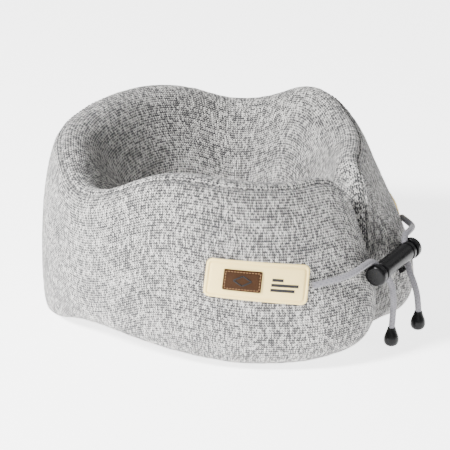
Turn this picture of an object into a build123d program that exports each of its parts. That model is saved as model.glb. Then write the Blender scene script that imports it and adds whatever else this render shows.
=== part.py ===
from build123d import *

import os
from math import cos, degrees, exp, pi, radians, sin, tan
from typing import NamedTuple

# U shaped neck pillow: a moulded foam core in a liner and a zipped knit cover, with a cord from each
# arm to a barrel cord lock across the gap. Millimetres, +Z up. The back of the neck is +Y, the gap
# between the arm ends is -Y, and the wearer's right arm is -X. The pillow stands on Z = 0, with the
# origin below the middle of its box.


class Station(NamedTuple):
    """The pillow's cross-section in one upright plane through the ring's centre."""

    angle: float  # round from the back of the neck, in degrees
    outer: float  # outside radius, near the base
    lean: float  # how far the rim's outside stands in from that radius
    top: float  # height of the rim's crest
    base: float  # height of the underside
    inner: float  # radius of the neck opening
    rim: float  # breadth of the rim
    corner: float  # size of the rounding between the outside and the base
    hollow: float  # how far the underside is arched between its two edges


# The wave along the pillow: high at the nape, a dip beside it, a cheek hump, a chin hump, then the end.
STATIONS = [
    Station(0, 142, 12, 140, 0, 65, 34, 3, 11),
    Station(35, 139, 6, 136, 0.4, 64, 31, 2, 11),
    Station(65, 128, -6, 120, 16, 60, 29, 9, 8),
    Station(95, 118, -2, 143, 9, 58, 31, 14, 8),
    Station(125, 120, 12, 135, 1, 62, 33, 18, 6),
    Station(150, 132, 30, 129, 0.2, 72, 30, 24, 5),
    Station(165, 136, 36, 127, 0.8, 79, 24, 28, 0),
    Station(172, 130, 24, 118, 1, 83, 19, 30, 0),
    Station(176, 124, 13, 98, 3, 88, 16, 22, 0),
    Station(178.3, 117, 4, 72, 9, 94, 12, 10, 0),
]
SECTION_ANGLES = [0, 15, 30, 45, 60, 75, 90, 105, 120, 135, 147, 157, 165, 170.5, 175]
ARM_END = 178.3
RING_Y = -2  # the centre that the sections turn about
END_RADIUS = 106  # radius of the middle of the arms' end faces

# Layers, as insets from the cover's outer face.
COVER_THICKNESS = 2.4
LINER_OUTSIDE = 3.3
LINER_INSIDE = 3.9
CORE_OUTSIDE = 4.3
INNER_ARCH = 1.8  # how much more the liner and core arch underneath than the cover does

# The outline's pieces are counted from the seam in the underside, out and up over the rim.
OUTLINE_PIECES = 13
BASE_SEAM = 1
RIM_SEAM = 7
SEAM_GAP = 0.35  # half the space between two panels along a seam
TIP_SEAM_GAP = 1.6  # how much wider that half is at the arms' tips
TIP_SEAM_CLOSING = 3.5  # degrees back from a tip in which the seam has mostly closed again

# Zipper in the underside seam at the nape.
ZIP_RADIUS = 102.5
ZIP_HALF_ANGLE = 34
ZIP_SLOT_HALF = 6  # half the width of the opening in the cover
ZIP_SLOT_CLOSING = 7  # degrees past the zipper in which the opening has mostly closed
TAPE_Z = 10.3
TAPE_THICKNESS = 0.6
TAPE_GAP_HALF = 1.5
TAPE_EDGE = 11
TOOTH_ANGLE = 1.5
TOOTH_WIDTH = 1.1
TOOTH_HEIGHT = 2.6
TOOTH_REACH = 0.7  # past the middle, between the teeth of the other side
TOOTH_ROOT = 2.8
TEETH_PER_SIDE = 41
TEETH_START = -31
STOP_ANGLE = 32.8
SLIDER_ANGLE = 29
SLIDER_LENGTH = 11
SLIDER_WIDTH = 8.5
WING_GAP = 2.9
WING_THICKNESS = 1.2
PULL_LENGTH = 20
PULL_WIDTH = 6.5
PULL_THICKNESS = 1.1

# Label patches and badges, on the outside of each arm. These sizes place the wearer's left ones.
LABEL_CENTRE = (94, -77, 73)
LABEL_ALONG = (-0.553, -0.825, -0.121)  # level along the arm, dropping a little to the front
LABEL_OUT = (0.81, -0.56, 0.18)
LABEL_DEPTH = 18  # more than the arm's outside curves away behind a label
LABEL_LENGTH = 73
LABEL_HEIGHT = 28
LABEL_CORNER = 4
LABEL_THICKNESS = 1.1
LABEL_GAP = 0.2
BADGE_LENGTH = 27
BADGE_HEIGHT = 15
BADGE_CORNER = 0.8
BADGE_THICKNESS = 1.2
BADGE_OFFSET = -10.6  # from the label's middle, towards the nape

# Cord lock: a barrel along X in front of the arm ends.
LOCK_Y = -137.2
LOCK_Z = 66
LOCK_RADIUS = 6.8
LOCK_HALF = 23
LOCK_COLLAR_RADIUS = 7.3
LOCK_COLLAR_LENGTH = 3.5
LOCK_WALL = 3  # blind end of each half's bore
SPIGOT_RADIUS = 3.9
SPIGOT_LENGTH = 1.6
BORE_RADIUS = 4.6
PLUNGER_CLEARANCE = 0.05
BUTTON_TRAVEL = 2.5
BUTTON_RADIUS = 7.8
BUTTON_THICKNESS = 6
PLUNGER_END = 10  # distance of the plunger's inner end from the lock's middle
SPRING_RADIUS = 3.6
SPRING_WIRE = 0.7
SPRING_TURNS = 4
SPRING_GAP = 0.05
CORD_HOLE_X = 19
CORD_HOLE = 5.4
PLUNGER_HOLE = 6.2  # wider, so that the pressed button clears the cord
CORD_AIM = Vector(0.45, -0.42, -0.79)  # the way the right cord runs through the lock

# Cords.
CORD_DIAMETER = 4.6
TIP_LENGTH = 14.5
TIP_RADIUS = 5.4
RIGHT_CORD_ROUTE = [
    (-71.7, -108.6, 68.5),
    (-61, -119.5, 70.5),
    (-50, -128, 73),
    (-37, -132, 76),
    (-24.4, -132.2, 75.5),
    (-13.6, -142.2, 56.5),
    (-12.8, -144, 43.5),
    (-12.5, -143.8, 31.5),
    (-12.5, -143, 20),
]
LEFT_CORD_ROUTE = [
    (71.7, -108.6, 68.5),
    (61, -119.5, 70.5),
    (50, -128, 73),
    (37, -132, 76),
    (24.4, -132.2, 75.5),
    (13.6, -142.2, 56.5),
    (12.8, -148, 46),
    (12.5, -151.5, 35),
    (12.5, -152.2, 25),
]


def ring_plane(angle):
    """The upright plane of the ring at an angle from the nape: its x runs outwards and its y up."""
    turn = radians(angle)
    return Plane(
        origin=(0, RING_Y, 0),
        x_dir=(sin(turn), cos(turn), 0),
        z_dir=(cos(turn), -sin(turn), 0),
    )


def section_corners(station):
    """Control points of a section's closed outline, as (radius, height), round from the neck opening."""
    height = station.top - station.base
    rim_outside = station.outer - station.lean
    rim_inside = rim_outside - station.rim
    belly = station.outer + 3
    base_inside = station.inner + 2
    base_outside = station.outer - station.corner
    return [
        (base_inside, station.base),
        ((base_inside + base_outside) / 2, station.base + station.hollow),
        (base_outside, station.base),
        (station.outer + 1, station.base + 0.45 * station.corner),
        (belly, station.base + 0.36 * height),
        (belly - 0.45 * station.lean, station.base + 0.64 * height),
        (rim_outside, station.top - 10),
        (rim_outside - 0.18 * station.rim, station.top + 2),
        (rim_outside - 0.55 * station.rim, station.top + 3),
        (rim_inside, station.top - 8),
        (station.inner + 0.3 * (rim_inside - station.inner), station.base + 0.62 * height),
        (station.inner - 2, station.base + 0.3 * height),
        (station.inner - 1, station.base + 3),
    ]


def inset_corners(corners, inset):
    """The same outline moved inwards by an inset, or outwards where it is negative."""
    moved = []
    for i, corner in enumerate(corners):
        here = Vector(*corner)
        before = (here - Vector(*corners[i - 1])).normalized()
        after = (Vector(*corners[(i + 1) % len(corners)]) - here).normalized()
        normals = Vector(-before.Y - after.Y, before.X + after.X)
        moved.append(here + normals * (inset / (1 + before.dot(after))))
    return moved


def station_at(angle):
    """The section at any angle, from a smooth curve through each of the stations' dimensions."""
    ring = [s._replace(angle=-s.angle) for s in reversed(STATIONS[1:])] + STATIONS
    after = next((i for i, s in enumerate(ring) if s.angle >= angle), len(ring) - 1)
    after = max(after, 1)
    start, end = ring[after - 1], ring[after]
    before = ring[max(after - 2, 0)]
    beyond = ring[min(after + 1, len(ring) - 1)]
    span = end.angle - start.angle
    t = (angle - start.angle) / span
    values = []
    for v0, v1, v2, v3 in zip(before, start, end, beyond):
        slope_in = span * (v2 - v0) / (end.angle - before.angle)
        slope_out = span * (v3 - v1) / (beyond.angle - start.angle)
        rise = v2 - v1
        curve = (slope_in + slope_out - 2 * rise) * t**3 + (3 * rise - 2 * slope_in - slope_out) * t**2
        values.append(v1 + slope_in * t + curve)
    return Station(*values)._replace(angle=angle)


def outline_pieces(corners, first, last, first_gap, last_gap):
    """Edges of the closed smooth curve through a ring of control points, cut back at a gap's ends."""
    edges = []
    for i in range(first, last):
        before, start, end, after = (corners[(i + k) % len(corners)] for k in (-1, 0, 1, 2))
        edge = Bezier(
            (before + start * 4 + end) / 6,
            (start * 2 + end) / 3,
            (start + end * 2) / 3,
            (start + end * 4 + after) / 6,
            mode=Mode.PRIVATE,
        )
        low = first_gap / edge.length if i == first else 0
        high = 1 - last_gap / edge.length if i == last - 1 else 1
        edges.append(edge.trim(low, high))
    return edges


def seam_opening(angle, below):
    """Half the gap between the panels: wider by an arm's tip, and for the zipper's slot below."""
    gap = SEAM_GAP + TIP_SEAM_GAP * exp((abs(angle) - ARM_END) / TIP_SEAM_CLOSING)
    if below:
        beyond = max(0, abs(angle) - ZIP_HALF_ANGLE)
        gap += (ZIP_SLOT_HALF - SEAM_GAP) * exp(-beyond / ZIP_SLOT_CLOSING)
    return gap


def section_edges(angle, inset, span, arch):
    """The part of the outline at an angle that lies between two seams, for one face of a layer."""
    station = station_at(angle)
    station = station._replace(hollow=station.hollow * arch)
    corners = inset_corners(section_corners(station), inset)
    first, last = span
    gaps = []
    for end in span:
        below = end % OUTLINE_PIECES == BASE_SEAM
        gaps.append(seam_opening(angle, below) if arch == 1 else SEAM_GAP)
    return outline_pieces(corners, first, last, *gaps)


def end_angle(inset):
    """The angle of an arm's end for a face that lies an inset inside the cover."""
    return ARM_END - degrees(inset / END_RADIUS)


def layer_wall(angles, outside, inside, span, arch=1):
    """A wall that follows the pillow's form between two insets, or all within the first of them."""
    with BuildPart() as wall:
        for angle in angles:
            outer_edges = section_edges(angle, outside, span, arch)
            start, end = outer_edges[0] @ 0, outer_edges[-1] @ 1
            with BuildSketch(ring_plane(angle)):
                with BuildLine():
                    add(outer_edges)
                    if inside is None:
                        Line(end, start)
                    else:
                        inner_edges = section_edges(angle, inside, span, arch)
                        add(inner_edges)
                        Line(end, inner_edges[-1] @ 1)
                        Line(start, inner_edges[0] @ 0)
                make_face()
        loft()
    return wall.part


def layer(outside, inside, span, arch=1):
    """One layer of the pillow from arm end to arm end; a hollow one gets a cap over each end."""
    last = end_angle(outside if inside is None else inside)
    angles = SECTION_ANGLES + [last]
    both_arms = [-angle for angle in reversed(angles[1:])] + angles
    with BuildPart() as whole:
        add(layer_wall(both_arms, outside, inside, span, arch))
        if inside is not None:
            cap = layer_wall([last, end_angle(outside)], outside, None, span, arch)
            add(cap)
            add(mirror(cap, about=Plane.YZ, mode=Mode.PRIVATE))
    return whole.part


def ring_sector(inner, outer, half_angle, low, high):
    """A flat strip of the ring, centred on the nape, between two radii and two heights."""
    start = 90 - half_angle
    with BuildPart() as sector:
        with BuildSketch(Plane(origin=(0, RING_Y, low))):
            with BuildLine():
                outside = CenterArc((0, 0), outer, start, 2 * half_angle)
                inside = CenterArc((0, 0), inner, start, 2 * half_angle)
                Line(outside @ 0, inside @ 0)
                Line(outside @ 1, inside @ 1)
            make_face()
        extrude(amount=high - low)
    return sector.part


def finish(builder, label):
    """Name a finished piece and write its file."""
    builder.part.label = label
    export_step(builder.part, f"parts/{label}.step")


os.makedirs("parts", exist_ok=True)

# ---------------------------------------------------------------- cover, liner and core

rim_to_base = (RIM_SEAM, BASE_SEAM + OUTLINE_PIECES)
base_to_rim = (BASE_SEAM, RIM_SEAM)
all_round = (BASE_SEAM, BASE_SEAM + OUTLINE_PIECES)

with BuildPart() as cover_inner_panel:
    add(layer(0, COVER_THICKNESS, rim_to_base))
finish(cover_inner_panel, "cover_inner_panel")

with BuildPart() as cover_outer_panel:
    add(layer(0, COVER_THICKNESS, base_to_rim))
finish(cover_outer_panel, "cover_outer_panel")

with BuildPart() as inner_liner:
    add(layer(LINER_OUTSIDE, LINER_INSIDE, all_round, INNER_ARCH))
finish(inner_liner, "inner_liner")

with BuildPart() as foam_core:
    add(layer(CORE_OUTSIDE, None, all_round, INNER_ARCH))
finish(foam_core, "foam_core")

# ---------------------------------------------------------------- zipper

tape_low = TAPE_Z - TAPE_THICKNESS / 2
tape_high = TAPE_Z + TAPE_THICKNESS / 2
for tape_name, tape_side in (("zipper_tape_inner", -1), ("zipper_tape_outer", 1)):
    near = ZIP_RADIUS + tape_side * TAPE_GAP_HALF
    far = ZIP_RADIUS + tape_side * TAPE_EDGE
    with BuildPart() as tape:
        add(ring_sector(min(near, far), max(near, far), ZIP_HALF_ANGLE, tape_low, tape_high))
    finish(tape, tape_name)


def zip_plane(angle):
    """The zipper's own plane at an angle from the nape: x outwards, y along the tape, z up."""
    turn = radians(angle)
    return Plane(
        origin=(ZIP_RADIUS * sin(turn), RING_Y + ZIP_RADIUS * cos(turn), TAPE_Z),
        x_dir=(sin(turn), cos(turn), 0),
        z_dir=(0, 0, 1),
    )


def zip_locations(start_angle, count):
    """Places along the zipper, one each pitch, with x outwards and z up."""
    places = []
    for i in range(count):
        angle = start_angle + i * TOOTH_ANGLE
        places.append(zip_plane(angle).location)
    return places


def tooth_solid(side):
    """One moulded tooth that grips its tape's edge and reaches past the middle."""
    with BuildPart() as tooth:
        with Locations((side * (TOOTH_ROOT - TOOTH_REACH) / 2, 0, 0)):
            Box(TOOTH_ROOT + TOOTH_REACH, TOOTH_WIDTH, TOOTH_HEIGHT)
        with Locations((side * (TAPE_GAP_HALF + TOOTH_ROOT) / 2, 0, 0)):
            Box(TOOTH_ROOT - TAPE_GAP_HALF, TOOTH_WIDTH, TAPE_THICKNESS, mode=Mode.SUBTRACT)
    return tooth.part


with BuildPart() as zipper_teeth:
    for side, shift in ((-1, 0), (1, TOOTH_ANGLE / 2)):
        with Locations(*zip_locations(TEETH_START + shift, TEETH_PER_SIDE)):
            add(tooth_solid(side))
finish(zipper_teeth, "zipper_teeth")

with BuildPart() as zipper_stops:
    for angle in (-STOP_ANGLE, STOP_ANGLE):
        with Locations(zip_plane(angle).location):
            Box(2 * TOOTH_ROOT, 1.4, TOOTH_HEIGHT)
    for tape_side in (-1, 1):
        near = ZIP_RADIUS + tape_side * TAPE_GAP_HALF
        far = ZIP_RADIUS + tape_side * TAPE_EDGE
        strip = ring_sector(min(near, far), max(near, far), ZIP_HALF_ANGLE, tape_low, tape_high)
        add(strip, mode=Mode.SUBTRACT)
finish(zipper_stops, "zipper_stops")

slider_plane = zip_plane(SLIDER_ANGLE)
wing_inside = WING_GAP / 2
wing_outside = wing_inside + WING_THICKNESS
rail_gap = 0.55  # half the height left for the tape between the wings' rails
rail_width = 0.9
bridge_y = -SLIDER_LENGTH / 2 + 1.3  # plane y runs towards the nape, away from the near end stop
bail_depth = 2.2
bail_wall = 0.7
with BuildPart() as zipper_slider:
    for up in (-1, 1):
        with BuildSketch(slider_plane.offset(up * wing_inside)):
            RectangleRounded(SLIDER_WIDTH, SLIDER_LENGTH, 2)
        extrude(amount=up * WING_THICKNESS)
        with BuildSketch(slider_plane.offset(up * rail_gap)):
            with Locations((SLIDER_WIDTH / 2 - rail_width / 2, 0), (rail_width / 2 - SLIDER_WIDTH / 2, 0)):
                Rectangle(rail_width, SLIDER_LENGTH - 4)
        extrude(amount=up * (wing_inside - rail_gap))
    with BuildSketch(slider_plane.offset(-wing_inside)):
        with Locations((0, bridge_y)):
            RectangleRounded(2.2, 2.2, 0.6)
    extrude(amount=WING_GAP)
    with BuildSketch(slider_plane.offset(-wing_outside)):
        Rectangle(1.6, 5.4)
    extrude(amount=-bail_depth)
    with BuildSketch(slider_plane.offset(-wing_outside)):
        Rectangle(1.7, 5.4 - 2 * bail_wall)
    extrude(amount=-(bail_depth - bail_wall), mode=Mode.SUBTRACT)
finish(zipper_slider, "zipper_slider")

# The pull's cross bar lies inside the bail, and its tab points along the zipper towards the nape.
pull_z = -wing_outside - (bail_depth - bail_wall) / 2
window = 4.2
with BuildPart() as zipper_pull:
    with BuildSketch(slider_plane.offset(pull_z - PULL_THICKNESS / 2)):
        with Locations((0, PULL_LENGTH / 2 - PULL_THICKNESS / 2)):
            RectangleRounded(PULL_WIDTH, PULL_LENGTH, 1)
        with Locations((0, PULL_THICKNESS / 2 + window / 2)):
            Rectangle(2.6, window, mode=Mode.SUBTRACT)
        with Locations((0, PULL_LENGTH - 3.5)):
            Circle(1.3, mode=Mode.SUBTRACT)
    extrude(amount=PULL_THICKNESS)
finish(zipper_pull, "zipper_pull")

# ---------------------------------------------------------------- labels and badges

label_plane = Plane(origin=LABEL_CENTRE, x_dir=LABEL_ALONG, z_dir=LABEL_OUT)
badge_plane = Plane(
    origin=label_plane.from_local_coords(Vector(BADGE_OFFSET, 0, 0)),
    x_dir=LABEL_ALONG,
    z_dir=LABEL_OUT,
)


def surface_plate(plane, length, height, corner, gap, thickness):
    """A rounded plate that follows the outside of the wearer's left arm, a gap away from the cover."""
    both_arms = [-angle for angle in reversed(SECTION_ANGLES[1:])] + SECTION_ANGLES
    with BuildPart() as plate:
        add(layer_wall(both_arms, -gap - thickness, -gap, base_to_rim))
        with BuildSketch(plane):
            RectangleRounded(length, height, corner)
        extrude(amount=LABEL_DEPTH, both=True, mode=Mode.INTERSECT)
    return plate.part


patch_solid = surface_plate(
    label_plane, LABEL_LENGTH, LABEL_HEIGHT, LABEL_CORNER, LABEL_GAP, LABEL_THICKNESS
)
badge_solid = surface_plate(
    badge_plane,
    BADGE_LENGTH,
    BADGE_HEIGHT,
    BADGE_CORNER,
    LABEL_GAP + LABEL_THICKNESS + 0.05,
    BADGE_THICKNESS,
)
for plate_name, solid in (("label_patch", patch_solid), ("badge", badge_solid)):
    with BuildPart() as left_plate:
        add(solid)
    finish(left_plate, f"left_{plate_name}")
    with BuildPart() as right_plate:
        add(mirror(solid, about=Plane.YZ, mode=Mode.PRIVATE))
    finish(right_plate, f"right_{plate_name}")

# ---------------------------------------------------------------- cord lock


def lock_plane(x, side):
    """A plane across the barrel at a distance from its middle, facing the end on that side."""
    return Plane(origin=(side * x, LOCK_Y, LOCK_Z), x_dir=(0, 1, 0), z_dir=(side, 0, 0))


def cord_plane(side):
    """The plane across a cord where it runs through the lock. Its x is nearest to world X."""
    aim = Vector(-side * CORD_AIM.X, CORD_AIM.Y, CORD_AIM.Z)
    across = Vector(1, 0, 0) - aim * aim.X
    return Plane(origin=(side * CORD_HOLE_X, LOCK_Y, LOCK_Z), x_dir=across, z_dir=aim)


def barrel_half(side):
    """Half of the barrel, with a blind bore for its plunger and a slanting hole for the cord."""
    with BuildPart() as half:
        with BuildSketch(lock_plane(0, side)):
            Circle(LOCK_RADIUS)
        extrude(amount=LOCK_HALF)
        with BuildSketch(lock_plane(LOCK_HALF - LOCK_COLLAR_LENGTH, side)):
            Circle(LOCK_COLLAR_RADIUS)
        extrude(amount=LOCK_COLLAR_LENGTH)
        end_rims = half.edges().filter_by(GeomType.CIRCLE).group_by(Axis.X)[-1 if side > 0 else 0]
        fillet(end_rims, radius=0.8)
        with BuildSketch(lock_plane(LOCK_WALL, side)):
            Circle(BORE_RADIUS)
        extrude(amount=LOCK_HALF, mode=Mode.SUBTRACT)
        with BuildSketch(cord_plane(side)):
            Circle(CORD_HOLE / 2)
        extrude(amount=2 * LOCK_RADIUS, both=True, mode=Mode.SUBTRACT)
    return half.part


with BuildPart() as right_lock_barrel:
    add(barrel_half(-1))
    with BuildSketch(lock_plane(0, 1)):
        Circle(SPIGOT_RADIUS)
    extrude(amount=SPIGOT_LENGTH)
finish(right_lock_barrel, "right_lock_barrel")

lug_width = 6
lug_reach = 4.2
with BuildPart() as left_lock_barrel:
    add(barrel_half(1))
    with BuildSketch(lock_plane(0, 1)):
        Circle(SPIGOT_RADIUS + PLUNGER_CLEARANCE)
    extrude(amount=SPIGOT_LENGTH + 0.1, mode=Mode.SUBTRACT)
    lug_plane = Plane(origin=(lug_width / 2 + 0.5, LOCK_Y, LOCK_Z), x_dir=(1, 0, 0), z_dir=(0, -0.6, -0.8))
    with BuildSketch(lug_plane.offset(LOCK_RADIUS - 1)):
        RectangleRounded(lug_width, 3.4, 0.8)
    extrude(amount=lug_reach)
    lug_eye = Plane(
        origin=lug_plane.from_local_coords(Vector(0, 0, LOCK_RADIUS + lug_reach / 2 - 0.6)),
        x_dir=(1, 0, 0),
        z_dir=(0, 0.8, -0.6),
    )
    with BuildSketch(lug_eye):
        Circle(1)
    extrude(amount=4, both=True, mode=Mode.SUBTRACT)
finish(left_lock_barrel, "left_lock_barrel")


def lock_button(side):
    """A mushroom button whose plunger has a slot that pinches the cord until it is pressed."""
    head_start = LOCK_HALF + BUTTON_TRAVEL
    with BuildPart() as button:
        with BuildSketch(lock_plane(head_start, side)):
            Circle(BUTTON_RADIUS)
        extrude(amount=BUTTON_THICKNESS)
        fillet(button.edges().filter_by(GeomType.CIRCLE).group_by(Axis.X)[-1 if side > 0 else 0], radius=2.2)
        fillet(button.edges().filter_by(GeomType.CIRCLE).group_by(Axis.X)[0 if side > 0 else -1], radius=0.8)
        with BuildSketch(lock_plane(PLUNGER_END, side)):
            Circle(BORE_RADIUS - PLUNGER_CLEARANCE)
        extrude(amount=head_start - PLUNGER_END)
        pinch = cord_plane(side)
        slide = side * BUTTON_TRAVEL * (pinch.x_dir.X)
        with BuildSketch(pinch):
            with Locations((slide / 2, 0)):
                SlotCenterToCenter(abs(slide), PLUNGER_HOLE)
        extrude(amount=2 * LOCK_RADIUS, both=True, mode=Mode.SUBTRACT)
    return button.part


def lock_spring(side):
    """The compression spring between the blind end of the bore and the plunger."""
    length = PLUNGER_END - LOCK_WALL
    height = length - SPRING_WIRE - 2 * SPRING_GAP
    start = side * (LOCK_WALL + SPRING_WIRE / 2 + SPRING_GAP)
    with BuildPart() as spring:
        with BuildLine():
            coil = Helix(
                height / SPRING_TURNS,
                height,
                SPRING_RADIUS,
                center=(start, LOCK_Y, LOCK_Z),
                direction=(side, 0, 0),
            )
        with BuildSketch(Plane(origin=coil @ 0, z_dir=coil % 0)):
            Circle(SPRING_WIRE / 2)
        sweep(is_frenet=True)
    return spring.part


for side_name, side in (("right", -1), ("left", 1)):
    with BuildPart() as button:
        add(lock_button(side))
    finish(button, f"{side_name}_lock_button")
    with BuildPart() as spring:
        add(lock_spring(side))
    finish(spring, f"{side_name}_lock_spring")

# ---------------------------------------------------------------- cords and their tips


def corner_radii(route):
    """The largest arc that each corner's two runs allow, and a line about it."""
    radii = []
    for before, here, after in zip(route, route[1:], route[2:]):
        run_in = Vector(*here) - Vector(*before)
        run_out = Vector(*after) - Vector(*here)
        turn = run_in.get_angle(run_out)
        radii.append(0.45 * min(run_in.length, run_out.length) / tan(radians(turn / 2)))
    return radii


def tip_solid(end):
    """A moulded drop on the end of a cord, with a flat top where the cord goes in."""
    neck = CORD_DIAMETER / 2 + 0.5
    low = TIP_RADIUS * 0.9
    with BuildPart() as tip:
        with BuildSketch(Plane(origin=end, x_dir=(1, 0, 0), z_dir=(0, -1, 0))):
            with BuildLine():
                Line((0, 0), (neck, 0))
                Spline(
                    (neck, 0),
                    (TIP_RADIUS, -TIP_LENGTH + low),
                    (0, -TIP_LENGTH),
                    tangents=[(0.25, -1), (0, -1), (-1, 0)],
                )
                Line((0, -TIP_LENGTH), (0, 0))
            make_face()
        revolve(axis=Axis(end, (0, 0, 1)))
    return tip.part


for side_name, route in (("right", RIGHT_CORD_ROUTE), ("left", LEFT_CORD_ROUTE)):
    radii = corner_radii(route)
    print(f"{side_name} cord arcs:", [round(radius, 1) for radius in radii])
    with BuildPart() as cord:
        with BuildLine():
            path = FilletPolyline(*route, radius=radii)
        with BuildSketch(Plane(origin=path @ 0, z_dir=path % 0)):
            Circle(CORD_DIAMETER / 2)
        sweep()
        expected = path.length * pi * (CORD_DIAMETER / 2) ** 2
        print(f"{side_name} cord length {path.length:.1f}, volume share {cord.part.volume / expected:.4f}")
    finish(cord, f"{side_name}_cord")
    with BuildPart() as tip:
        add(tip_solid(route[-1]))
    finish(tip, f"{side_name}_cord_tip")
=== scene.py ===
from math import cos, pi, radians, sin

import bpy
import numpy as np
from mathutils import Matrix, Vector, noise
from mathutils.bvhtree import BVHTree


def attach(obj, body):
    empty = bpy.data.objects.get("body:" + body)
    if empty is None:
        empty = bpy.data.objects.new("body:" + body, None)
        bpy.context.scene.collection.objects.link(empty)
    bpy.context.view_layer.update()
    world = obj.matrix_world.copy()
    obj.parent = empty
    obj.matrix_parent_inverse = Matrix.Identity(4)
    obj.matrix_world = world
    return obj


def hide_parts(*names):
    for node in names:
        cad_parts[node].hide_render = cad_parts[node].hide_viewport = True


# The looks of a U shaped knit neck pillow with cream labels, a cord and a black cord lock, built round
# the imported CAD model. Metres, +Z up, the gap between the arms at -Y and the wearer's right arm at -X.

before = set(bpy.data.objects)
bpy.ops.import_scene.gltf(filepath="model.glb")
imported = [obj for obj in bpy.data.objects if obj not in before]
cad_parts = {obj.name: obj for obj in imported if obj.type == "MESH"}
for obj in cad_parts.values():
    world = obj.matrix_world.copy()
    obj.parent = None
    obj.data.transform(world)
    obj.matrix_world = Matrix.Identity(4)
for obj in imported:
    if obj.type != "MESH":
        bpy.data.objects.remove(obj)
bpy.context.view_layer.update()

# ------------------------------------------------------------------ sizes

RING_Y = -0.002  # the centre that the pillow's cross-sections turn about
ARM_END = 178.2  # angle of the last section, from the nape
SECTIONS = 421
RAYS = 400  # round each section
SEARCH = 0.2  # how far from the pillow a search for its surface starts
SEARCH_FLOOR = 0.05  # the lowest place for a section's top
SEARCH_HEIGHT = 0.06  # at which every section has both an inner and an outer wall
MIDDLE_SHARE = 0.55  # a section's middle, as a share of its height
SEAM_MISS_TOP = 0.1  # the height taken where a ray from above falls into a seam
SMOOTHING_LOSS = 0.0004  # the most that evening out the form may take off it
RAY_REACH = 0.088  # past the cover, but short of the other side of the neck opening
INNER_ROWS = 150
OUTER_ROWS = 130
CAP_RINGS = 10

# Relief of the knit: how far each kind of shape stands out, its size, and how far from a seam it reaches.
SEAM_DEPTH = 0.0013
SEAM_REACH = 0.0022
SWELL_HEIGHT = 0.0007
SWELL_REACH = 0.012
LUMP_HEIGHT = 0.0009
LUMP_SIZE = 0.045
PUCKER_HEIGHT = 0.0005
PUCKER_SIZE = 0.0055
PUCKER_REACH = 0.007
FOLD_SIZE = 0.011
GATHER_HEIGHT = 0.0007  # folds on the neck wall
GATHER_PLACE = 0.62  # share of the way down from the rim
GATHER_SPREAD = 0.25
FOLD_HEIGHT = 0.0006  # folds low on the outside
FOLD_REACH = 0.03
RIPPLE_HEIGHT = 0.00022
RIPPLE_SIZE = 0.006
UPRIGHT = (1, 1, 0.12)  # squeezes the noise's place so that folds run upwards

CORD_DIAMETER = 0.0046
RIGHT_CORD_ROUTE = [
    (-0.0717, -0.1086, 0.0685),
    (-0.061, -0.1195, 0.0705),
    (-0.05, -0.128, 0.073),
    (-0.037, -0.132, 0.076),
    (-0.0244, -0.1322, 0.0755),
    (-0.0136, -0.1422, 0.0565),
    (-0.0128, -0.144, 0.0435),
    (-0.0125, -0.1438, 0.0315),
    (-0.0125, -0.143, 0.02),
]
LEFT_CORD_ROUTE = [
    (0.0717, -0.1086, 0.0685),
    (0.061, -0.1195, 0.0705),
    (0.05, -0.128, 0.073),
    (0.037, -0.132, 0.076),
    (0.0244, -0.1322, 0.0755),
    (0.0136, -0.1422, 0.0565),
    (0.0128, -0.148, 0.046),
    (0.0125, -0.1515, 0.035),
    (0.0125, -0.1522, 0.025),
]

# Labels, for the wearer's left arm; the right ones are their mirror images.
LABEL_CENTRE = (0.094, -0.077, 0.073)
LABEL_ALONG = (-0.553, -0.825, -0.121)
LABEL_OUT = (0.81, -0.56, 0.18)
LABEL_SIZE = (0.073, 0.028)
LABEL_CORNER = 0.004
BADGE_SIZE = (0.027, 0.015)
BADGE_CORNER = 0.0008
BADGE_OFFSET = -0.0106

# ------------------------------------------------------------------ camera

CAMERA_AZIMUTH = -59.9
CAMERA_ELEVATION = 23.0
CAMERA_DISTANCE = 1.582
CAMERA_TARGET = (0.0008, 0.004, 0.0637)
CAMERA_ROLL = 0.16
CAMERA_LENS = 168.5


def add_camera():
    """The camera at the photograph's angle."""
    turn = radians(CAMERA_AZIMUTH)
    rise = radians(CAMERA_ELEVATION)
    back = Vector((sin(turn) * cos(rise), -cos(turn) * cos(rise), sin(rise)))
    data = bpy.data.cameras.new("camera")
    data.lens = CAMERA_LENS
    camera = bpy.data.objects.new("camera", data)
    bpy.context.scene.collection.objects.link(camera)
    looking = back.to_track_quat("Z", "Y").to_matrix().to_4x4()
    looking = looking @ Matrix.Rotation(radians(CAMERA_ROLL), 4, "Z")
    camera.matrix_world = Matrix.Translation(Vector(CAMERA_TARGET) + back * CAMERA_DISTANCE) @ looking
    bpy.context.scene.camera = camera


add_camera()

# ------------------------------------------------------------------ helpers for meshes


def new_mesh(name, points, faces, smooth=True):
    """A mesh object from arrays of points and faces."""
    mesh = bpy.data.meshes.new(name)
    mesh.from_pydata([tuple(p) for p in points], [], faces)
    mesh.update()
    mesh.polygons.foreach_set("use_smooth", [smooth] * len(mesh.polygons))
    obj = bpy.data.objects.new(name, mesh)
    bpy.context.scene.collection.objects.link(obj)
    return obj


def grid_faces(columns, rows, start=0):
    """Quads between points that are stored column by column."""
    faces = []
    for i in range(columns - 1):
        for j in range(rows - 1):
            a = start + i * rows + j
            faces.append((a, a + rows, a + rows + 1, a + 1))
    return faces


def set_uv(obj, values):
    """Store one pair of numbers for each vertex as the UV map that the material reads."""
    layer = obj.data.uv_layers.new(name="UVMap")
    index = np.empty(len(obj.data.loops), int)
    obj.data.loops.foreach_get("vertex_index", index)
    layer.data.foreach_set("uv", np.asarray(values, float)[index].ravel())


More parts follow.
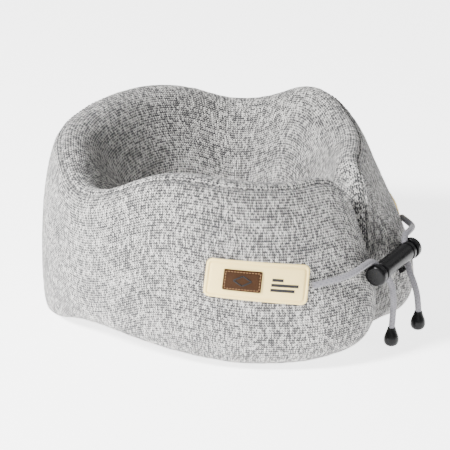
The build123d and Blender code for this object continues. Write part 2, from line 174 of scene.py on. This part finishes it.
def smoothed(values, width, axis, wrap):
    """A running Gaussian average, with the ends either joined or held."""
    reach = int(3 * width)
    offsets = np.arange(-reach, reach + 1)
    weights = np.exp(-0.5 * (offsets / width) ** 2)
    weights /= weights.sum()
    pad = [(0, 0)] * values.ndim
    pad[axis] = (reach, reach)
    if wrap:
        padded = np.pad(values, pad, mode="wrap")
    else:
        padded = np.pad(values, pad, mode="reflect", reflect_type="odd")
    result = np.zeros_like(values)
    size = values.shape[axis]
    for offset, weight in zip(offsets, weights):
        take = np.arange(reach + offset, reach + offset + size)
        result += weight * np.take(padded, take, axis=axis)
    return result


def wavy(points, scale, seed):
    """Smooth noise between -1 and 1 at each point, with features of the given size."""
    shift = Vector((seed * 3.1, seed * 7.7, seed * 1.3))
    flat = points.reshape(-1, 3) / scale
    values = [noise.noise(Vector(p) + shift) for p in flat]
    return np.array(values).reshape(points.shape[:-1])


def node_tree_of(node):
    """A ray-cast tree over a CAD node's faces."""
    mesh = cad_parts[node].data
    return BVHTree.FromPolygons([v.co for v in mesh.vertices], [p.vertices for p in mesh.polygons])


# ------------------------------------------------------------------ cords


def add_cord(name, route):
    """A round cord whose smooth line has the route's points as its control points."""
    curve = bpy.data.curves.new(name, "CURVE")
    curve.dimensions = "3D"
    curve.bevel_depth = CORD_DIAMETER / 2
    curve.bevel_resolution = 5
    curve.use_fill_caps = True
    spline = curve.splines.new("NURBS")
    spline.points.add(len(route) - 1)
    for point, place in zip(spline.points, route):
        point.co = (*place, 1)
    spline.order_u = 3
    spline.use_endpoint_u = True
    spline.resolution_u = 16
    cord = bpy.data.objects.new(name, curve)
    bpy.context.scene.collection.objects.link(cord)
    return cord


cords = {
    "right": add_cord("right_cord_line", RIGHT_CORD_ROUTE),
    "left": add_cord("left_cord_line", LEFT_CORD_ROUTE),
}

# ------------------------------------------------------------------ the pillow's form, from the CAD covers

UP = np.array((0.0, 0.0, 1.0))


def outward(angle):
    """The level direction of a section, from the ring's centre."""
    return np.array((sin(angle), cos(angle), 0.0))


def first_hit(tree, start, direction, reach):
    """Where a ray first meets a surface, and how far along it, or None for both."""
    place, _, _, distance = tree.ray_cast(Vector(start), Vector(direction), reach)
    return place, distance


def section_middle(angle, inner_tree, outer_tree):
    """A point inside the foam, half way through the section at half its height."""
    level = outward(angle)
    axis = np.array((0, RING_Y, SEARCH_HEIGHT))
    inside, _ = first_hit(inner_tree, axis, level, SEARCH)
    outside, _ = first_hit(outer_tree, axis + level * SEARCH, -level, SEARCH)
    middle = (np.array(inside) + np.array(outside)) / 2
    tops = []
    for tree in (inner_tree, outer_tree):
        place, _ = first_hit(tree, middle * (1, 1, 0) + UP * SEARCH, -UP, SEARCH - SEARCH_FLOOR)
        if place is not None:
            tops.append(place.z)
    middle[2] = MIDDLE_SHARE * max(tops, default=SEAM_MISS_TOP)
    return middle


def read_form():
    """Each section's middle, the cover's distance along every ray, and which panel each ray meets."""
    trees = [node_tree_of("cover_inner_panel"), node_tree_of("cover_outer_panel")]
    turns = np.radians(np.linspace(-ARM_END, ARM_END, SECTIONS))
    spins = np.linspace(0, 2 * pi, RAYS, endpoint=False)
    middles = np.array([section_middle(turn, *trees) for turn in turns])
    middles = smoothed(middles, 4, 0, wrap=False)
    reaches = np.full((2, SECTIONS, RAYS), -1.0)
    for i, turn in enumerate(turns):
        level = outward(turn)
        for j, spin in enumerate(spins):
            ray = level * cos(spin) + UP * sin(spin)
            start = middles[i] + ray * RAY_REACH
            for k, tree in enumerate(trees):
                place, distance = first_hit(tree, start, -ray, RAY_REACH)
                if place is not None:
                    reaches[k, i, j] = RAY_REACH - distance
    return turns, spins, middles, reaches


def seam_spins(reaches):
    """The rays, in each section, at which the outer panel ends at the rim and both panels end below."""
    outer_first = reaches[1] > reaches[0]
    inner_first = reaches[0] > reaches[1]
    half = RAYS // 2
    rim, inner_end, outer_start = [], [], []
    for outer_here, inner_here in zip(outer_first, inner_first):
        rim.append(np.flatnonzero(outer_here[:half]).max() + 0.5)
        inner_end.append(np.flatnonzero(inner_here).max() + 0.5)
        outer_below = np.flatnonzero(outer_here[half:]) + half
        outer_start.append(outer_below.min() - 0.5)
    ends = np.array([rim, inner_end, outer_start], float)
    return smoothed(ends, 3, 1, wrap=False)


def panel_points(turns, middles, reach, first, last, rows):
    """Evenly spaced points over the cover between two rays of every section."""
    columns = []
    for i, turn in enumerate(turns):
        fine = np.linspace(first[i], last[i], 4 * rows)
        spin = fine * 2 * pi / RAYS
        distance = np.interp(fine % RAYS, np.arange(RAYS + 1), np.append(reach[i], reach[i][0]))
        rays = np.outer(np.cos(spin), outward(turn)) + np.outer(np.sin(spin), UP)
        line = middles[i] + rays * distance[:, None]
        steps = np.linalg.norm(np.diff(line, axis=0), axis=1)
        along = np.concatenate([[0], np.cumsum(steps)])
        even = np.linspace(0, along[-1], rows)
        columns.append(np.stack([np.interp(even, along, line[:, k]) for k in range(3)], axis=1))
    return np.array(columns)


turns, spins, middles, reaches = read_form()
rim_seam, inner_end, outer_start = seam_spins(reaches)
reach = reaches.max(axis=0)
for row in reach:
    gaps = row < 0
    row[gaps] = np.interp(np.flatnonzero(gaps), np.flatnonzero(~gaps), row[~gaps])
reach = smoothed(reach, 1.6, 1, wrap=True)
reach = np.maximum(smoothed(reach, 2.5, 0, wrap=False), reach - SMOOTHING_LOSS)
reach = smoothed(reach, 1.0, 0, wrap=False)

inner_points = panel_points(turns, middles, reach, rim_seam, inner_end, INNER_ROWS)
outer_points = panel_points(turns, middles, reach, outer_start - RAYS, rim_seam, OUTER_ROWS)[:, ::-1]


def grid_normals(points):
    """Outward normals of a panel's grid, whose rows run from the rim seam down to the underside."""
    along = np.gradient(points, axis=0)
    across = np.gradient(points, axis=1)
    normals = np.cross(across, along)
    normals /= np.linalg.norm(normals, axis=2, keepdims=True)
    away = points - middles[:, None, :]
    flip = np.sign((normals * away).sum(axis=2).mean())
    return normals * flip


def grid_lengths(points):
    """Distance along the pillow and down from the rim seam at each point, in metres."""
    across = np.linalg.norm(np.diff(points, axis=1), axis=2)
    down = np.concatenate([np.zeros((len(points), 1)), np.cumsum(across, axis=1)], axis=1)
    steps = np.linalg.norm(np.diff(points.mean(axis=1), axis=0), axis=1)
    along = np.concatenate([[0], np.cumsum(steps)])
    along -= along[len(along) // 2]
    return np.repeat(along[:, None], points.shape[1], axis=1), down


# ------------------------------------------------------------------ the two knit panels

HEM = (0.0012, 0.0026)  # how deep a panel's edges turn in at its seams
CAP_CLOSING = 0.985  # how near a cap's last ring comes to the section's middle
CAP_DOME = 0.0016


def relief(points, down, inner):
    """How far the knit stands out or in at each point: seam valleys, gathers, folds and soft lumps."""
    total = down[:, -1:]
    to_base = total - down
    nearest = np.minimum(down, to_base)
    lift = -SEAM_DEPTH * np.exp(-((down / SEAM_REACH) ** 2))
    lift -= SEAM_DEPTH * np.exp(-((to_base / SEAM_REACH) ** 2))
    lift += SWELL_HEIGHT * (1 - np.exp(-nearest / SWELL_REACH))
    lift += LUMP_HEIGHT * wavy(points, LUMP_SIZE, 1)
    puckers = wavy(points * UPRIGHT, PUCKER_SIZE, 2)
    lift += PUCKER_HEIGHT * puckers * np.exp(-nearest / PUCKER_REACH)
    folds = wavy(points * UPRIGHT, FOLD_SIZE, 3)
    if inner:
        lift += GATHER_HEIGHT * folds * np.exp(-(((down / total) - GATHER_PLACE) / GATHER_SPREAD) ** 2)
    else:
        lift += FOLD_HEIGHT * folds * np.exp(-to_base / FOLD_REACH)
    lift += RIPPLE_HEIGHT * wavy(points, RIPPLE_SIZE, 4)
    return lift


def with_hems(points, normals, along, down):
    """The panel's grid with both of its seam edges turned in."""
    grids = []
    for values, inward in ((points, -normals), (along, None), (down, None)):
        edges = []
        for side in (0, -1):
            rows = []
            for depth in HEM:
                rows.append(values[:, side] if inward is None else values[:, side] + inward[:, side] * depth)
            edges.append(np.stack(rows, axis=1))
        grids.append(np.concatenate([edges[0][:, ::-1], values, edges[1]], axis=1))
    return grids


def with_caps(points, along, down):
    """The grid with a domed cap over each arm's end."""
    shares = np.linspace(0, 1, CAP_RINGS + 1)[1:] * CAP_CLOSING
    for end, sign in ((0, -1), (-1, 1)):
        forward = np.array((cos(turns[end]), -sin(turns[end]), 0.0)) * sign
        rings = []
        for share in shares:
            dome = CAP_DOME * (1 - (1 - share) ** 3)
            rings.append(points[end] * (1 - share) + middles[end] * share + forward * dome)
        rings = np.array(rings)
        cap_along = np.linalg.norm(rings - points[end], axis=2) * sign + along[end]
        cap_down = np.repeat(down[end][None], CAP_RINGS, axis=0)
        if end == 0:
            points = np.concatenate([rings[::-1], points])
            along = np.concatenate([cap_along[::-1], along])
            down = np.concatenate([cap_down, down])
        else:
            points = np.concatenate([points, rings])
            along = np.concatenate([along, cap_along])
            down = np.concatenate([down, cap_down])
    return points, along, down


def add_panel(name, points, inner, node):
    """One knit panel of the cover, in place of its CAD solid."""
    along, down = grid_lengths(points)
    normals = grid_normals(points)
    surface = points + normals * relief(points, down, inner)[:, :, None]
    full, along, down = with_caps(*with_hems(surface, normals, along, down))
    panel = new_mesh(name, full.reshape(-1, 3), grid_faces(*full.shape[:2]))
    set_uv(panel, np.stack([along.ravel(), down.ravel()], axis=1))
    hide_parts(node)
    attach(panel, "pillow")
    return panel, surface, normals


inner_panel, _, _ = add_panel(
    "inner_panel_knit", inner_points, True, "cover_inner_panel"
)
outer_panel, outer_surface, outer_normals = add_panel(
    "outer_panel_knit", outer_points, False, "cover_outer_panel"
)

# ------------------------------------------------------------------ stitches


def bar_mesh(places, radius, sides=6):
    """Points and faces of short round-ended bars, each given as (start, end)."""
    points, faces = [], []
    for start, end in places:
        axis = (end - start) / np.linalg.norm(end - start)
        side = np.cross(axis, UP)
        if np.linalg.norm(side) < 0.1:
            side = np.cross(axis, (1.0, 0, 0))
        side /= np.linalg.norm(side)
        other = np.cross(axis, side)
        taper = axis * radius * 0.7
        stops = ((start, 0.25), (start + taper, 1.0), (end - taper, 1.0), (end, 0.25))
        base = len(points)
        for centre, share in stops:
            for k in range(sides):
                turn = 2 * pi * k / sides
                points.append(centre + (side * cos(turn) + other * sin(turn)) * radius * share)
        for ring in range(len(stops) - 1):
            for k in range(sides):
                a = base + ring * sides + k
                b = base + ring * sides + (k + 1) % sides
                faces.append((a, b, b + sides, a + sides))
        faces.append(tuple(range(base + sides - 1, base - 1, -1)))
        last = base + (len(stops) - 1) * sides
        faces.append(tuple(range(last, last + sides)))
    return points, faces


def spaced_bars(line, pitch, length, closed=False):
    """Starts and ends of bars set out along a line of points."""
    if closed:
        line = np.concatenate([line, line[:1]])
    steps = np.linalg.norm(np.diff(line, axis=0), axis=1)
    along = np.concatenate([[0], np.cumsum(steps)])
    count = int(along[-1] // pitch)
    starts = (np.arange(count) + 0.3) * along[-1] / count
    at = [np.interp(starts, along, line[:, k]) for k in range(3)]
    to = [np.interp(starts + length, along, line[:, k]) for k in range(3)]
    return list(zip(np.stack(at, axis=1), np.stack(to, axis=1)))


STITCH_ROW = 2  # rows of the outer panel's grid below the rim seam
STITCH_LIFT = 0.0001
STITCH_PITCH = 0.0046
STITCH_LENGTH = 0.0024
STITCH_RADIUS = 0.00034
stitch_line = outer_surface[:, STITCH_ROW] + outer_normals[:, STITCH_ROW] * STITCH_LIFT
stitches = spaced_bars(stitch_line, STITCH_PITCH, STITCH_LENGTH)
rim_stitches = new_mesh("rim_stitches", *bar_mesh(stitches, STITCH_RADIUS))
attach(rim_stitches, "pillow")

# ------------------------------------------------------------------ labels and badges

outer_tree = BVHTree.FromPolygons(
    [v.co for v in outer_panel.data.vertices], [p.vertices for p in outer_panel.data.polygons]
)


def rounded_outline(length, height, corner, inset, count=160):
    """Points round a rounded rectangle that lies an inset inside the given one."""
    half_x = length / 2 - inset
    half_y = height / 2 - inset
    radius = max(corner - inset, 0.00005)
    radius = min(radius, half_x, half_y)
    centres = [(1, 1, 0), (-1, 1, pi / 2), (-1, -1, pi), (1, -1, 1.5 * pi)]
    points = []
    for sx, sy, start in centres:
        for turn in np.linspace(start, start + pi / 2, 8):
            x = sx * (half_x - radius) + radius * cos(turn)
            y = sy * (half_y - radius) + radius * sin(turn)
            points.append((x, y))
    points = np.array(points)
    closed = np.concatenate([points, points[:1]])
    steps = np.linalg.norm(np.diff(closed, axis=0), axis=1)
    along = np.concatenate([[0], np.cumsum(steps)])
    even = np.linspace(0, along[-1], count, endpoint=False)
    return np.stack([np.interp(even, along, closed[:, k]) for k in range(2)], axis=1)


class LabelSpot:
    """Where one arm's labels lie: turns (along, up, height) on the label into points on the pillow."""

    def __init__(self, mirror):
        self.centre = np.array(LABEL_CENTRE) * (mirror, 1, 1)
        self.out = np.array(LABEL_OUT) * (mirror, 1, 1)
        self.out /= np.linalg.norm(self.out)
        along = np.array(LABEL_ALONG) * (mirror, 1, 1)
        self.along = along - self.out * along.dot(self.out)
        self.along /= np.linalg.norm(self.along)
        up = UP - self.out * self.out.dot(UP)
        self.up = up - self.along * up.dot(self.along)
        self.up /= np.linalg.norm(self.up)

    def place(self, flat, height):
        """Points at a height over the knit, for points (along, up) on the flat label."""
        placed = []
        for x, y in flat:
            start = self.centre + self.along * x + self.up * y + self.out * 0.03
            hit, _, _, _ = outer_tree.ray_cast(Vector(start), Vector(-self.out), 0.08)
            placed.append(np.array(hit) + self.out * height)
        return np.array(placed)


def add_plate(name, spot, size, corner, profile, offset=0.0):
    """A rounded plate made of rings, each with its own inset from the edge and height over the knit."""
    rings = []
    flats = []
    for inset, height in profile:
        outline = rounded_outline(*size, corner, inset) + (offset, 0)
        rings.append(spot.place(outline, height))
        flats.append(outline)
    count = len(rings[0])
    points = np.concatenate(rings)
    faces = []
    for i in range(len(rings) - 1):
        for j in range(count):
            a = i * count + j
            b = i * count + (j + 1) % count
            faces.append((a, b, b + count, a + count))
    last = (len(rings) - 1) * count
    faces.append(tuple(range(last, last + count)))
    plate = new_mesh(name, points, faces)
    set_uv(plate, np.concatenate(flats))
    return plate


LABEL_TOP = 0.0013
BADGE_TOP = 0.0024
EDGE_ROUND = 0.0003
GROOVE_DEPTH = 0.0006  # the border pressed into a label
THREAD_SINK = 0.00018  # depth of the groove that a badge's thread lies in
label_profile = [
    (0, -0.0006),
    (0, LABEL_TOP - 0.0004),
    (0.00035, LABEL_TOP),
    (0.0016, LABEL_TOP),
    (0.0021, LABEL_TOP - GROOVE_DEPTH),
    (0.0026, LABEL_TOP - GROOVE_DEPTH),
    (0.0031, LABEL_TOP),
]
label_profile += [(inset, LABEL_TOP) for inset in np.linspace(0.0044, 0.0139, 9)]
badge_profile = [
    (0, LABEL_TOP - EDGE_ROUND),
    (0, BADGE_TOP - EDGE_ROUND),
    (EDGE_ROUND, BADGE_TOP),
    (0.0009, BADGE_TOP),
    (0.0013, BADGE_TOP - THREAD_SINK),
    (0.0018, BADGE_TOP),
]
badge_profile += [(inset, BADGE_TOP) for inset in np.linspace(0.003, 0.0074, 5)]

# Plain printed bars and a plain diamond stand where a label carries words and a mark. A bar is
# (start along the label, height on it, length).
PRINT_LINES = [(0.0102, 0.0024, 0.008), (0.0098, -0.0012, 0.0195), (0.0096, -0.0048, 0.0172)]
PRINT_HALF = 0.00105
PRINT_LIFT = 0.00022
PRINT_STEPS = 16
DIAMOND = [(-0.0064, 0), (0, 0.0036), (0.0064, 0), (0, -0.0036)]
DIAMOND_RADIUS = 0.00055


def add_print(name, spot):
    """Flat printed bars that follow the label's face."""
    points, faces = [], []
    for x, y, length in PRINT_LINES:
        line = np.stack([np.linspace(x, x + length, PRINT_STEPS), np.full(PRINT_STEPS, y)], axis=1)
        edges = []
        for shift in (-PRINT_HALF, PRINT_HALF):
            edges.append(spot.place(line + (0, shift), LABEL_TOP + PRINT_LIFT))
        faces += grid_faces(PRINT_STEPS, 2, len(points))
        points += list(np.stack(edges, axis=1).reshape(-1, 3))
    return new_mesh(name, points, faces)


THREAD_INSET = 0.0013
THREAD_PITCH = 0.0021
THREAD_LENGTH = 0.0013
THREAD_RADIUS = 0.00018
labels, badges, badge_threads, prints, marks = [], [], [], [], []
for side, mirror in (("right", -1), ("left", 1)):
    spot = LabelSpot(mirror)
    label = add_plate(f"{side}_label", spot, LABEL_SIZE, LABEL_CORNER, label_profile)
    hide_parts(f"{side}_label_patch")
    labels.append(label)
    badge = add_plate(f"{side}_badge_leather", spot, BADGE_SIZE, BADGE_CORNER, badge_profile, BADGE_OFFSET)
    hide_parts(f"{side}_badge")
    badges.append(badge)
    outline = rounded_outline(*BADGE_SIZE, BADGE_CORNER, THREAD_INSET) + (BADGE_OFFSET, 0)
    bars = spaced_bars(spot.place(outline, BADGE_TOP), THREAD_PITCH, THREAD_LENGTH, closed=True)
    badge_threads.append(new_mesh(f"{side}_badge_thread", *bar_mesh(bars, THREAD_RADIUS)))
    prints.append(add_print(f"{side}_print", spot))
    corners = spot.place(np.array(DIAMOND) + (BADGE_OFFSET, 0), BADGE_TOP)
    mark = list(zip(corners, np.roll(corners, -1, axis=0)))
    marks.append(new_mesh(f"{side}_diamond", *bar_mesh(mark, DIAMOND_RADIUS)))
for piece in labels + badges + badge_threads + prints + marks:
    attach(piece, "pillow")

# ------------------------------------------------------------------ materials


KNIT_ROW = 0.0019
KNIT_WALE = 0.0016
YARN_SPOT = 0.0009  # length over which the yarn changes shade
CLOUD_ALONG = 0.03  # size of the larger, softer changes of shade
CLOUD_DOWN = 0.012
ROW_STEP = 7.31  # moves each row to its own part of the yarn's noise
BRAID_TURNS = 44
BRAID_STRANDS = 4


class Shader:
    """A material under construction, with short ways to add its nodes."""

    def __init__(self, name, roughness=0.9):
        self.material = bpy.data.materials.new(name)
        self.material.use_nodes = True
        self.tree = self.material.node_tree
        self.surface = self.tree.nodes["Principled BSDF"]
        self.surface.inputs["Roughness"].default_value = roughness

    def add(self, kind, **inputs):
        node = self.tree.nodes.new(kind)
        for name, value in inputs.items():
            self.set(node.inputs[name.replace("_", " ")], value)
        return node

    def set(self, socket, value):
        if isinstance(value, bpy.types.NodeSocket):
            self.tree.links.new(value, socket)
        else:
            socket.default_value = value

    def math(self, operation, *values, clamp=False):
        node = self.tree.nodes.new("ShaderNodeMath")
        node.operation = operation
        node.use_clamp = clamp
        for socket, value in zip(node.inputs, values):
            self.set(socket, value)
        return node.outputs[0]

    def mix(self, share, first, second):
        node = self.tree.nodes.new("ShaderNodeMix")
        node.data_type = "RGBA"
        self.set(node.inputs["Factor"], share)
        self.set(node.inputs[6], first)
        self.set(node.inputs[7], second)
        return node.outputs[2]

    def vector(self, x, y, z=0.0):
        node = self.tree.nodes.new("ShaderNodeCombineXYZ")
        for socket, value in zip(node.inputs, (x, y, z)):
            self.set(socket, value)
        return node.outputs[0]

    def uv(self):
        split = self.tree.nodes.new("ShaderNodeSeparateXYZ")
        source = self.tree.nodes.new("ShaderNodeUVMap")
        self.tree.links.new(source.outputs[0], split.inputs[0])
        return split.outputs[0], split.outputs[1]

    def position(self):
        return self.tree.nodes.new("ShaderNodeTexCoord").outputs["Object"]

    def noise(self, place, scale, detail=2.0):
        node = self.add("ShaderNodeTexNoise", Vector=place, Scale=scale, Detail=detail)
        return node.outputs["Fac"]

    def bump(self, height, distance, strength=1.0):
        node = self.add("ShaderNodeBump", Height=height, Distance=distance, Strength=strength)
        self.set(self.surface.inputs["Normal"], node.outputs[0])

    def colour(self, value):
        self.set(self.surface.inputs["Base Color"], value)


def give(material, *objects):
    for obj in objects:
        obj.data.materials.clear()
        obj.data.materials.append(material)


def knit_material(name, light, dark):
    """Melange jersey: rows of V stitches whose yarn changes shade from one stitch to the next, with painted
    shade in the hollows between stitches.
    """
    shader = Shader(name, 0.95)
    u, v = shader.uv()
    wales = shader.math("DIVIDE", u, KNIT_WALE)
    rows = shader.math("DIVIDE", v, KNIT_ROW)
    across = shader.math("ABSOLUTE", shader.math("SUBTRACT", shader.math("FRACT", wales), 0.5))
    phase = shader.math("ADD", rows, across)
    wave = shader.math("COSINE", shader.math("MULTIPLY", phase, 2 * pi))
    ridge = shader.math("MULTIPLY_ADD", wave, 0.5, 0.5)
    groove = shader.math("POWER", shader.math("MULTIPLY", across, 2.0), 3.0)
    stitch = shader.math("MULTIPLY", ridge, shader.math("MULTIPLY_ADD", groove, -0.7, 1.0))
    painted_hollow_shade = shader.math("SUBTRACT", 1.0, stitch)
    row_index = shader.math("FLOOR", phase)
    row_start = shader.math("MULTIPLY", row_index, ROW_STEP)
    yarn_place = shader.vector(shader.math("DIVIDE", u, YARN_SPOT), row_start)
    yarn = shader.noise(yarn_place, 1.0, 2.0)
    cell_place = shader.vector(shader.math("FLOOR", shader.math("MULTIPLY", wales, 2.0)), row_index)
    cell = shader.add("ShaderNodeTexWhiteNoise", Vector=cell_place).outputs["Value"]
    cloud_place = shader.vector(shader.math("DIVIDE", u, CLOUD_ALONG), shader.math("DIVIDE", v, CLOUD_DOWN))
    cloud = shader.noise(cloud_place, 1.0, 2.0)
    fleck = shader.math("MULTIPLY_ADD", yarn, 0.9, -0.72)
    fleck = shader.math("MULTIPLY_ADD", cell, 1.15, fleck)
    fleck = shader.math("MULTIPLY_ADD", cloud, 0.7, fleck, clamp=True)
    # The hollows between stitches are pushed towards the dark yarn: painted shade.
    shade = shader.math("MULTIPLY_ADD", painted_hollow_shade, 0.6, shader.math("MULTIPLY", fleck, 0.72), clamp=True)
    shader.colour(shader.mix(shade, light, dark))
    fuzz = shader.noise(shader.position(), 2600.0, 2.0)
    shader.bump(shader.math("MULTIPLY_ADD", fuzz, 0.4, stitch), 0.0005)
    shader.surface.inputs["Sheen Weight"].default_value = 0.15
    shader.surface.inputs["Sheen Roughness"].default_value = 0.5
    return shader.material


def cloth_material(name, base, shade, scale=900.0, depth=0.00012, roughness=0.9):
    """Felted or woven cloth, with a fine grain and soft uneven shade."""
    shader = Shader(name, roughness)
    place = shader.position()
    grain = shader.noise(place, scale, 3.0)
    cloud = shader.noise(place, 60.0, 2.0)
    share = shader.math("MULTIPLY", shader.math("ADD", grain, cloud), 0.5)
    shader.colour(shader.mix(share, base, shade))
    shader.bump(grain, depth)
    return shader.material


def woven_material(name, base, shade, thread):
    """A plain weave, whose threads cross over and under each other."""
    shader = Shader(name, 0.85)
    split = shader.add("ShaderNodeSeparateXYZ", Vector=shader.position())
    waves = [shader.math("SINE", shader.math("MULTIPLY", axis, pi / thread)) for axis in split.outputs[:2]]
    weave = shader.math("MULTIPLY", *waves)
    weave = shader.math("ADD", shader.math("MULTIPLY", weave, 0.5), 0.5)
    shader.colour(shader.mix(weave, shade, base))
    shader.bump(weave, 0.0002)
    return shader.material


def braid_material(name, base, shade):
    """A round braid: two sets of strands that wind round the cord in opposite ways, with painted shade in the
    gaps between them.
    """
    shader = Shader(name, 0.75)
    source = shader.tree.nodes.new("ShaderNodeTexCoord")
    split = shader.add("ShaderNodeSeparateXYZ", Vector=source.outputs["UV"])
    along = shader.math("MULTIPLY", split.outputs[0], 2 * pi * BRAID_TURNS)
    round_it = shader.math("MULTIPLY", split.outputs[1], 2 * pi * BRAID_STRANDS)
    one = shader.math("SINE", shader.math("ADD", along, round_it))
    two = shader.math("SINE", shader.math("SUBTRACT", along, round_it))
    strands = shader.math("MAXIMUM", one, two)
    strands = shader.math("ADD", shader.math("MULTIPLY", strands, 0.5), 0.5)
    grain = shader.noise(shader.position(), 1500.0, 2.0)
    uneven = shader.math("ADD", shader.math("MULTIPLY", grain, 0.5), 0.6)
    # Darker where the strands part: painted shade in the gaps, on top of the yarn's own uneven tone.
    share = shader.math("MULTIPLY", strands, uneven, clamp=True)
    shader.colour(shader.mix(share, shade, base))
    shader.bump(strands, 0.00025)
    shader.surface.inputs["Sheen Weight"].default_value = 0.2
    return shader.material


def plastic_material(name, base, roughness, grain=0.00004):
    """Moulded plastic with a faint orange-peel surface and small rubs."""
    shader = Shader(name, roughness)
    place = shader.position()
    peel = shader.noise(place, 700.0, 3.0)
    rubs = shader.noise(place, 160.0, 4.0)
    shader.set(
        shader.surface.inputs["Roughness"],
        shader.math("ADD", shader.math("MULTIPLY", rubs, 0.22), roughness - 0.11),
    )
    shader.colour(shader.mix(rubs, base, tuple(min(1, c * 1.5) for c in base[:3]) + (1,)))
    shader.bump(peel, grain)
    shader.surface.inputs["Specular IOR Level"].default_value = 0.15
    return shader.material


def metal_material(name, base, roughness):
    """Plated or drawn metal with fine rubs."""
    material = plastic_material(name, base, roughness, 0.00002)
    material.node_tree.nodes["Principled BSDF"].inputs["Metallic"].default_value = 1.0
    return material


def leather_material(name, base, shade):
    """Grained leather, its colour changing softly from place to place."""
    shader = Shader(name, 0.6)
    place = shader.position()
    cells = shader.add("ShaderNodeTexVoronoi", Vector=place, Scale=1300.0)
    cloud = shader.noise(place, 120.0, 3.0)
    shader.colour(shader.mix(cloud, shade, base))
    shader.bump(cells.outputs["Distance"], 0.00012)
    shader.surface.inputs["Specular IOR Level"].default_value = 0.15
    return shader.material


LIGHT_YARN = (0.84, 0.82, 0.78, 1)
DARK_YARN = (0.02, 0.02, 0.022, 1)
give(knit_material("knit_inner", LIGHT_YARN, DARK_YARN), inner_panel)
give(knit_material("knit_outer", LIGHT_YARN, DARK_YARN), outer_panel)
give(cloth_material("label_cloth", (0.90, 0.70, 0.29, 1), (0.82, 0.62, 0.24, 1)), *labels)
give(leather_material("badge_leather", (0.035, 0.0125, 0.0018, 1), (0.017, 0.006, 0.001, 1)), *badges)
give(cloth_material("badge_thread", (0.34, 0.2, 0.09, 1), (0.22, 0.12, 0.05, 1)), *badge_threads)
give(cloth_material("dark_print", (0.003, 0.003, 0.003, 1), (0.007, 0.007, 0.007, 1), roughness=0.7), *prints)
give(cloth_material("badge_mark", (0.004, 0.004, 0.005, 1), (0.008, 0.007, 0.007, 1)), *marks)
give(cloth_material("stitch_thread", (0.03, 0.03, 0.033, 1), (0.1, 0.1, 0.105, 1)), rim_stitches)
give(braid_material("cord_braid", (0.17, 0.165, 0.18, 1), (0.1, 0.097, 0.11, 1)), *cords.values())

NODE_MATERIALS = {
    plastic_material("black_plastic", (0.0018, 0.0018, 0.002, 1), 0.27): [
        "right_lock_barrel",
        "left_lock_barrel",
        "right_lock_button",
        "left_lock_button",
        "right_cord_tip",
        "left_cord_tip",
    ],
    metal_material("spring_steel", (0.55, 0.55, 0.57, 1), 0.3): ["right_lock_spring", "left_lock_spring"],
    metal_material("zipper_metal", (0.5, 0.5, 0.52, 1), 0.3): [
        "zipper_stops",
        "zipper_slider",
        "zipper_pull",
    ],
    plastic_material("zipper_teeth", (0.25, 0.25, 0.27, 1), 0.4): ["zipper_teeth"],
    woven_material("zipper_tape", (0.32, 0.32, 0.35, 1), (0.2, 0.2, 0.22, 1), 0.0007): [
        "zipper_tape_inner",
        "zipper_tape_outer",
    ],
    woven_material("liner_weave", (0.75, 0.75, 0.73, 1), (0.55, 0.55, 0.54, 1), 0.0005): ["inner_liner"],
    cloth_material("foam_cells", (0.8, 0.75, 0.62, 1), (0.65, 0.6, 0.48, 1), 700.0, 0.0004): ["foam_core"],
}
for material, names in NODE_MATERIALS.items():
    give(material, *(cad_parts[name] for name in names))

# ------------------------------------------------------------------ cords in place of their CAD parts

for side, route in (("right", RIGHT_CORD_ROUTE), ("left", LEFT_CORD_ROUTE)):
    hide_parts(f"{side}_cord")
    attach(cords[side], "pillow")

# ------------------------------------------------------------------ floor and light

floor = new_mesh("floor", [(-6, -6, 0), (6, -6, 0), (6, 6, 0), (-6, 6, 0)], [(0, 1, 2, 3)])
FLOOR_GLOW = 3.0  # lifts the floor to the white of a studio sweep
floor_shader = Shader("floor_paint", 0.8)
cloud = floor_shader.noise(floor_shader.position(), 3.0)
floor_shader.colour(floor_shader.mix(cloud, (0.98, 0.98, 0.98, 1), (0.96, 0.96, 0.96, 1)))
floor_shader.surface.inputs["Emission Color"].default_value = (1, 1, 1, 1)
floor_shader.surface.inputs["Emission Strength"].default_value = FLOOR_GLOW
give(floor_shader.material, floor)


def add_light(name, place, power, size):
    """A round soft light that points at the pillow."""
    data = bpy.data.lights.new(name, "AREA")
    data.energy = power
    data.shape = "DISK"
    data.size = size
    light = bpy.data.objects.new(name, data)
    bpy.context.scene.collection.objects.link(light)
    light.location = place
    light.rotation_euler = (Vector(place) - LIT_PLACE).to_track_quat("Z", "Y").to_euler()


LIT_PLACE = Vector((0, 0, 0.06))
add_light("key", (-1.4, 0.68, 1.25), 138, 0.4)
add_light("camera_side", (-1.4, -1.0, 0.9), 6, 1.2)
add_light("right_edge", (1.2, -0.6, 0.9), 1, 0.8)

world = bpy.data.worlds.new("studio")
bpy.context.scene.world = world
world.use_nodes = True
world.node_tree.nodes["Background"].inputs["Color"].default_value = (1, 1, 1, 1)
world.node_tree.nodes["Background"].inputs["Strength"].default_value = 0.5
